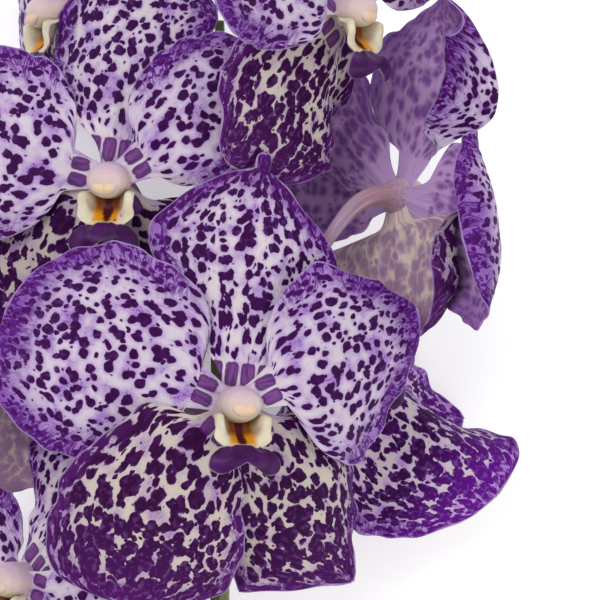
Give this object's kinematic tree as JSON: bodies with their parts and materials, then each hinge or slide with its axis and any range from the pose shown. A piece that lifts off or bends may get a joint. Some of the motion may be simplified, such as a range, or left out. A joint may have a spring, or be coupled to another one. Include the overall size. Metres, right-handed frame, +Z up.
{
  "type": "cut vanda orchid",
  "caption": "Cut spray of a spotted vanda orchid, laid down: a bare stem with open blooms of broad flat tepals, a short column and a small lip.",
  "frame": {"origin": "on the table under the middle of the spray's outline, where it lies on three petals", "axes": "+Y along the stem towards its tip, the cut end at -Y; +X to the right of the side that is seen; +Z up, away from the table"},
  "size_m": [0.1654, 0.3406, 0.1231],
  "materials": {
    "dorsal_sepal": "satin",
    "petal": "satin",
    "lateral_sepal": "satin",
    "lip": "satin",
    "stalk": "satin",
    "stem": "satin"
  },
  "bodies": {
    "root": {"front_dorsal_sepal": "dorsal_sepal", "front_lateral_sepal_left": "lateral_sepal", "front_lateral_sepal_right": "lateral_sepal", "front_lip": "lip", "front_petal_left": "petal", "front_petal_right": "petal", "front_stalk": "stalk", "left_back_dorsal_sepal": "dorsal_sepal", "left_back_lateral_sepal_left": "lateral_sepal", "left_back_lateral_sepal_right": "lateral_sepal", "left_back_lip": "lip", "left_back_petal_left": "petal", "left_back_petal_right": "petal", "left_back_stalk": "stalk", "low_left_dorsal_sepal": "dorsal_sepal", "low_left_lateral_sepal_left": "lateral_sepal", "low_left_lateral_sepal_right": "lateral_sepal", "low_left_lip": "lip", "low_left_petal_left": "petal", "low_left_petal_right": "petal", "low_left_stalk": "stalk", "low_right_dorsal_sepal": "dorsal_sepal", "low_right_lateral_sepal_left": "lateral_sepal", "low_right_lateral_sepal_right": "lateral_sepal", "low_right_lip": "lip", "low_right_petal_left": "petal", "low_right_petal_right": "petal", "low_right_stalk": "stalk", "right_dorsal_sepal": "dorsal_sepal", "right_lateral_sepal_left": "lateral_sepal", "right_lateral_sepal_right": "lateral_sepal", "right_lip": "lip", "right_petal_left": "petal", "right_petal_right": "petal", "right_stalk": "stalk", "stem": "stem", "top_dorsal_sepal": "dorsal_sepal", "top_lateral_sepal_left": "lateral_sepal", "top_lateral_sepal_right": "lateral_sepal", "top_left_dorsal_sepal": "dorsal_sepal", "top_left_lateral_sepal_left": "lateral_sepal", "top_left_lateral_sepal_right": "lateral_sepal", "top_left_lip": "lip", "top_left_petal_left": "petal", "top_left_petal_right": "petal", "top_left_stalk": "stalk", "top_lip": "lip", "top_petal_left": "petal", "top_petal_right": "petal", "top_stalk": "stalk", "upper_left_dorsal_sepal": "dorsal_sepal", "upper_left_lateral_sepal_left": "lateral_sepal", "upper_left_lateral_sepal_right": "lateral_sepal", "upper_left_lip": "lip", "upper_left_petal_left": "petal", "upper_left_petal_right": "petal", "upper_left_stalk": "stalk"}
  },
  "joints": []
}
